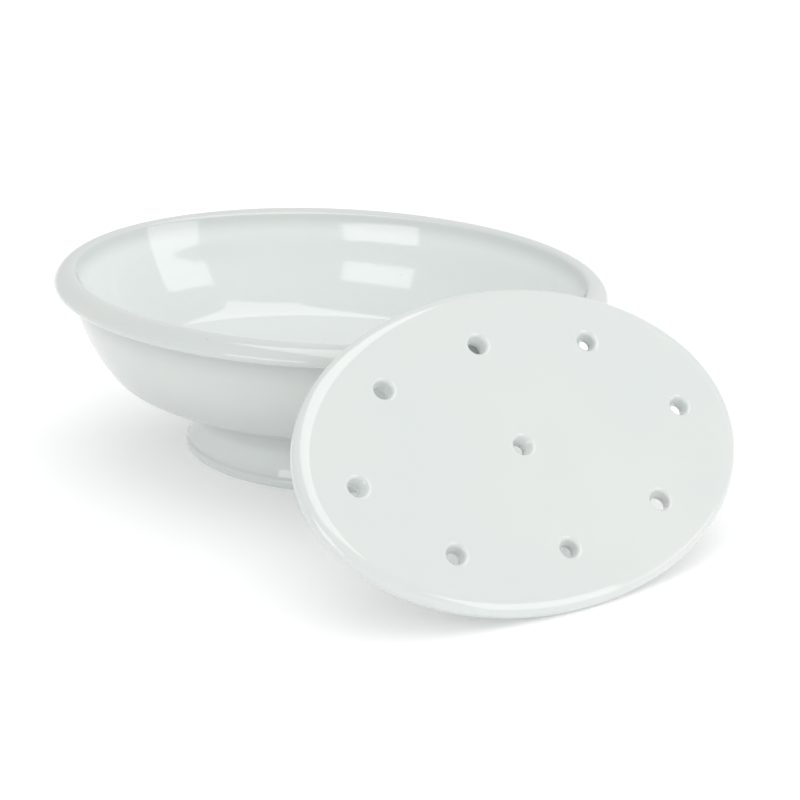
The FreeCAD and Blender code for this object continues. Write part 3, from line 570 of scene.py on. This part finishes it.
def make_plate():
    """The plate's closed skin: its edge, its drain holes, and the flat face and back between
    them, laid out as triangles whose corners include a fine even grid."""
    edge, tubes, grid = plate_edge(), drain_holes(), flat_grid()
    holes, tube_rings = tubes.shape[:2]
    edge_points, tube_points = edge.reshape(-1, 3), tubes.reshape(-1, 3)
    hole_starts = len(edge_points) + np.arange(holes) * tube_rings * HOLE_ROUND
    face_start = len(edge_points) + len(tube_points)
    face_grid = np.pad(grid, ((0, 0), (0, 1)))
    back_grid = face_grid - (0, 0, PLATE_THICKNESS)

    faces = ring_faces(len(edge), PLATE_ROUND)[:, ::-1].tolist()
    for start in hole_starts:
        faces += ring_faces(tube_rings, HOLE_ROUND, start).tolist()
    for edge_ring, tube_ring, grid_start, turn in (
        (0, 0, face_start, 1),
        (len(edge) - 1, tube_rings - 1, face_start + len(grid), -1),
    ):
        guard_ids = hole_starts[:, None] + tube_ring * HOLE_ROUND + np.arange(HOLE_ROUND)
        ids = np.concatenate([
            edge_ring * PLATE_ROUND + np.arange(PLATE_ROUND),
            guard_ids.ravel(),
            grid_start + np.arange(len(grid)),
        ])
        triangles = flat_triangles(edge[edge_ring, :, :2], tubes[:, tube_ring, :, :2], grid)
        faces += ids[triangles][:, ::turn].tolist()
    points = lean(np.concatenate([edge_points, tube_points, face_grid, back_grid]))
    return put_in_mesh("glazed_drainer_plate", points, faces, np.full(len(points), PLATE_COAT))


# Glaze
def set_sockets(node, values):
    """Gives a node's sockets a number or a colour each, or links them to another node's output."""
    for name, value in values.items():
        if isinstance(value, bpy.types.NodeSocket):
            node.id_data.links.new(value, node.inputs[name])
        else:
            node.inputs[name].default_value = value


def add_node(tree, kind, sockets, **settings):
    """Adds a shader node, with its settings and then its sockets."""
    node = tree.nodes.new(kind)
    for name, value in settings.items():
        setattr(node, name, value)
    set_sockets(node, sockets)
    return node


def noise(tree, place, scale, detail, roughness):
    """Soft noise over a place, from 0 to 1."""
    sockets = {"Vector": place, "Scale": scale, "Detail": detail, "Roughness": roughness}
    return add_node(tree, "ShaderNodeTexNoise", sockets).outputs["Fac"]


def span(tree, value, low, high, at_low, at_high):
    """Straight change from at_low where a value is low to at_high where it is high, and no further."""
    sockets = {"Value": value, "From Min": low, "From Max": high, "To Min": at_low, "To Max": at_high}
    return add_node(tree, "ShaderNodeMapRange", sockets).outputs["Result"]


def blend_colours(tree, share, first, second):
    """A share of the way from the first colour to the second: sockets 0, 6, 7 and output 2 are those
    of a Mix node that mixes colours."""
    return add_node(tree, "ShaderNodeMix", {0: share, 6: first, 7: second}, data_type="RGBA").outputs[2]


def bump(tree, height, strength, distance, **normal):
    """Surface raised by a height, on top of another bump where its normal is given."""
    sockets = {"Height": height, "Strength": strength, "Distance": distance, **normal}
    return add_node(tree, "ShaderNodeBump", sockets).outputs["Normal"]


def white_glaze(name, seed_shift):
    """Clear glossy glaze over white porcelain: clouded faintly between a cool and a warmer white, lighter
    where its attribute gives painted light or the plate's lighter tone and greyer where it gives painted
    shade, with rare small iron specks and the soft unevenness of a dipped and fired glaze."""
    material = bpy.data.materials.new(name)
    material.use_nodes = True
    tree = material.node_tree
    tree.nodes.clear()
    coordinates = add_node(tree, "ShaderNodeTexCoord", {}).outputs["Object"]
    mapping = add_node(tree, "ShaderNodeMapping", {"Vector": coordinates, "Location": seed_shift})
    place = mapping.outputs["Vector"]

    cloud = span(tree, noise(tree, place, scale=22.0, detail=3.0, roughness=0.55), 0.35, 0.65, 0.0, 1.0)
    colour = blend_colours(tree, cloud, GLAZE_COOL, GLAZE_WARM)
    painted_light_and_tone = add_node(tree, "ShaderNodeAttribute", {}, attribute_name="painted_light_and_tone").outputs["Fac"]
    # painted light: toward a lighter white where the attribute is above 0; painted shade: toward a greyer
    # white where it is below 0
    colour = blend_colours(tree, span(tree, painted_light_and_tone, 0.0, 1.0, 0.0, 1.0), colour, LIGHTER_GLAZE_AND_PAINTED_LIGHT)
    colour = blend_colours(tree, span(tree, painted_light_and_tone, 0.0, -1.0, 0.0, 1.0), colour, PAINTED_SHADE_GLAZE)
    cells = add_node(tree, "ShaderNodeTexVoronoi", {"Vector": place, "Scale": 48.0})
    specks = span(tree, cells.outputs["Distance"], 0.008, 0.018, 0.45, 0.0)
    colour = blend_colours(tree, specks, colour, SPECK)

    rough = span(tree, noise(tree, place, scale=70.0, detail=4.0, roughness=0.6), 0.3, 0.7, 0.05, 0.11)
    swells = noise(tree, place, scale=55.0, detail=2.0, roughness=0.4)
    swell = bump(tree, swells, strength=0.35, distance=0.00025)
    dimples = noise(tree, place, scale=420.0, detail=2.0, roughness=0.5)
    peel = bump(tree, dimples, strength=0.12, distance=0.00005, Normal=swell)
    shader = add_node(tree, "ShaderNodeBsdfPrincipled", {
        "Base Color": colour,
        "Roughness": rough,
        "Normal": peel,
        "IOR": 1.52,
        "Specular IOR Level": 0.5,
        "Coat Weight": 0.35,
        "Coat Roughness": 0.04,
    })
    add_node(tree, "ShaderNodeOutputMaterial", {"Surface": shader.outputs["BSDF"]})
    return material


# Floor and light
def lay_paper():
    """The floor: a plain sheet of white paper, lit through a little."""
    corners = [(-PAPER_HALF, -PAPER_HALF, 0), (PAPER_HALF, -PAPER_HALF, 0)]
    corners += [(PAPER_HALF, PAPER_HALF, 0), (-PAPER_HALF, PAPER_HALF, 0)]
    mesh = bpy.data.meshes.new("floor")
    mesh.from_pydata(corners, [], [(0, 1, 2, 3)])
    floor = bpy.data.objects.new("floor", mesh)
    bpy.context.scene.collection.objects.link(floor)
    paper = bpy.data.materials.new("white_paper")
    paper.use_nodes = True
    set_sockets(paper.node_tree.nodes["Principled BSDF"], {
        "Base Color": PAPER,
        "Roughness": 0.9,
        "Specular IOR Level": 0.1,
        "Emission Color": WHITE,
        "Emission Strength": PAPER_GLOW,
    })
    mesh.materials.append(paper)
    return floor


def fill_studio():
    """Even white light from all round."""
    world = bpy.data.worlds.new("studio")
    bpy.context.scene.world = world
    world.use_nodes = True
    set_sockets(world.node_tree.nodes["Background"], {"Color": WHITE, "Strength": STUDIO_STRENGTH})


def softbox(name, place, target, width, height, watts, turn=0.0, mirrored=False):
    """Rectangular studio light, sizes and places in millimetres, turned about its own axis. It
    lights what is matte or, where it is mirrored, only shows as a reflection in the glaze."""
    data = bpy.data.lights.new(name, "AREA")
    data.shape = "RECTANGLE"
    data.size = width * MM
    data.size_y = height * MM
    data.energy = watts
    light = bpy.data.objects.new(name, data)
    bpy.context.scene.collection.objects.link(light)
    light.visible_diffuse = not mirrored
    light.visible_glossy = mirrored
    aim(light, place, target)
    light.rotation_euler.rotate_axis("Z", math.radians(turn))


def reflection(name, place, target, width, height, radiance, turn=0.0):
    """Mirrored softbox of an even radiance: watts = radiance x pi x area in square metres."""
    watts = radiance * math.pi * width * height * MM * MM
    softbox(name, place, target, width, height, watts, turn, mirrored=True)


make_camera()
bowl = make_bowl()
plate = make_plate()
bowl.data.materials.append(white_glaze("white_glaze_bowl", (0.013, 0.021, 0.007)))
plate.data.materials.append(white_glaze("white_glaze_plate", (0.31, 0.17, 0.42)))
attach(bowl, "root")
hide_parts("bowl")
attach(plate, "root")
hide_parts("drainer_plate")
floor = lay_paper()
fill_studio()

bowl_middle = (0, 0, 30)
softbox("ceiling", (60, 120, 1300), (60, 120, 0), 1500, 1500, 4.5)
softbox("front_left", (-500, -1100, 700), bowl_middle, 900, 700, 1.1)
softbox("front_right", (650, -1050, 700), bowl_middle, 900, 700, 1.2)
softbox("side_right", (820, -410, 300), bowl_middle, 480, 470, 0.9)
softbox("back_right", (850, 800, 450), (60, -40, 0), 500, 400, 2.0)
reflection("window_right", (820, -410, 225), bowl_middle, 480, 470, 2.1)
reflection("window_front", (-265, -865, 180), bowl_middle, 380, 380, 2.4)
reflection("overhead", (92, -135, 420), (92, -135, 0), 290, 560, 2.0, turn=25)
reflection("card_right", (900, 30, 60), (80, -60, 20), 420, 190, 1.2)

bpy.context.scene.view_settings.view_transform = "Standard"
bpy.context.scene.view_settings.look = "None"
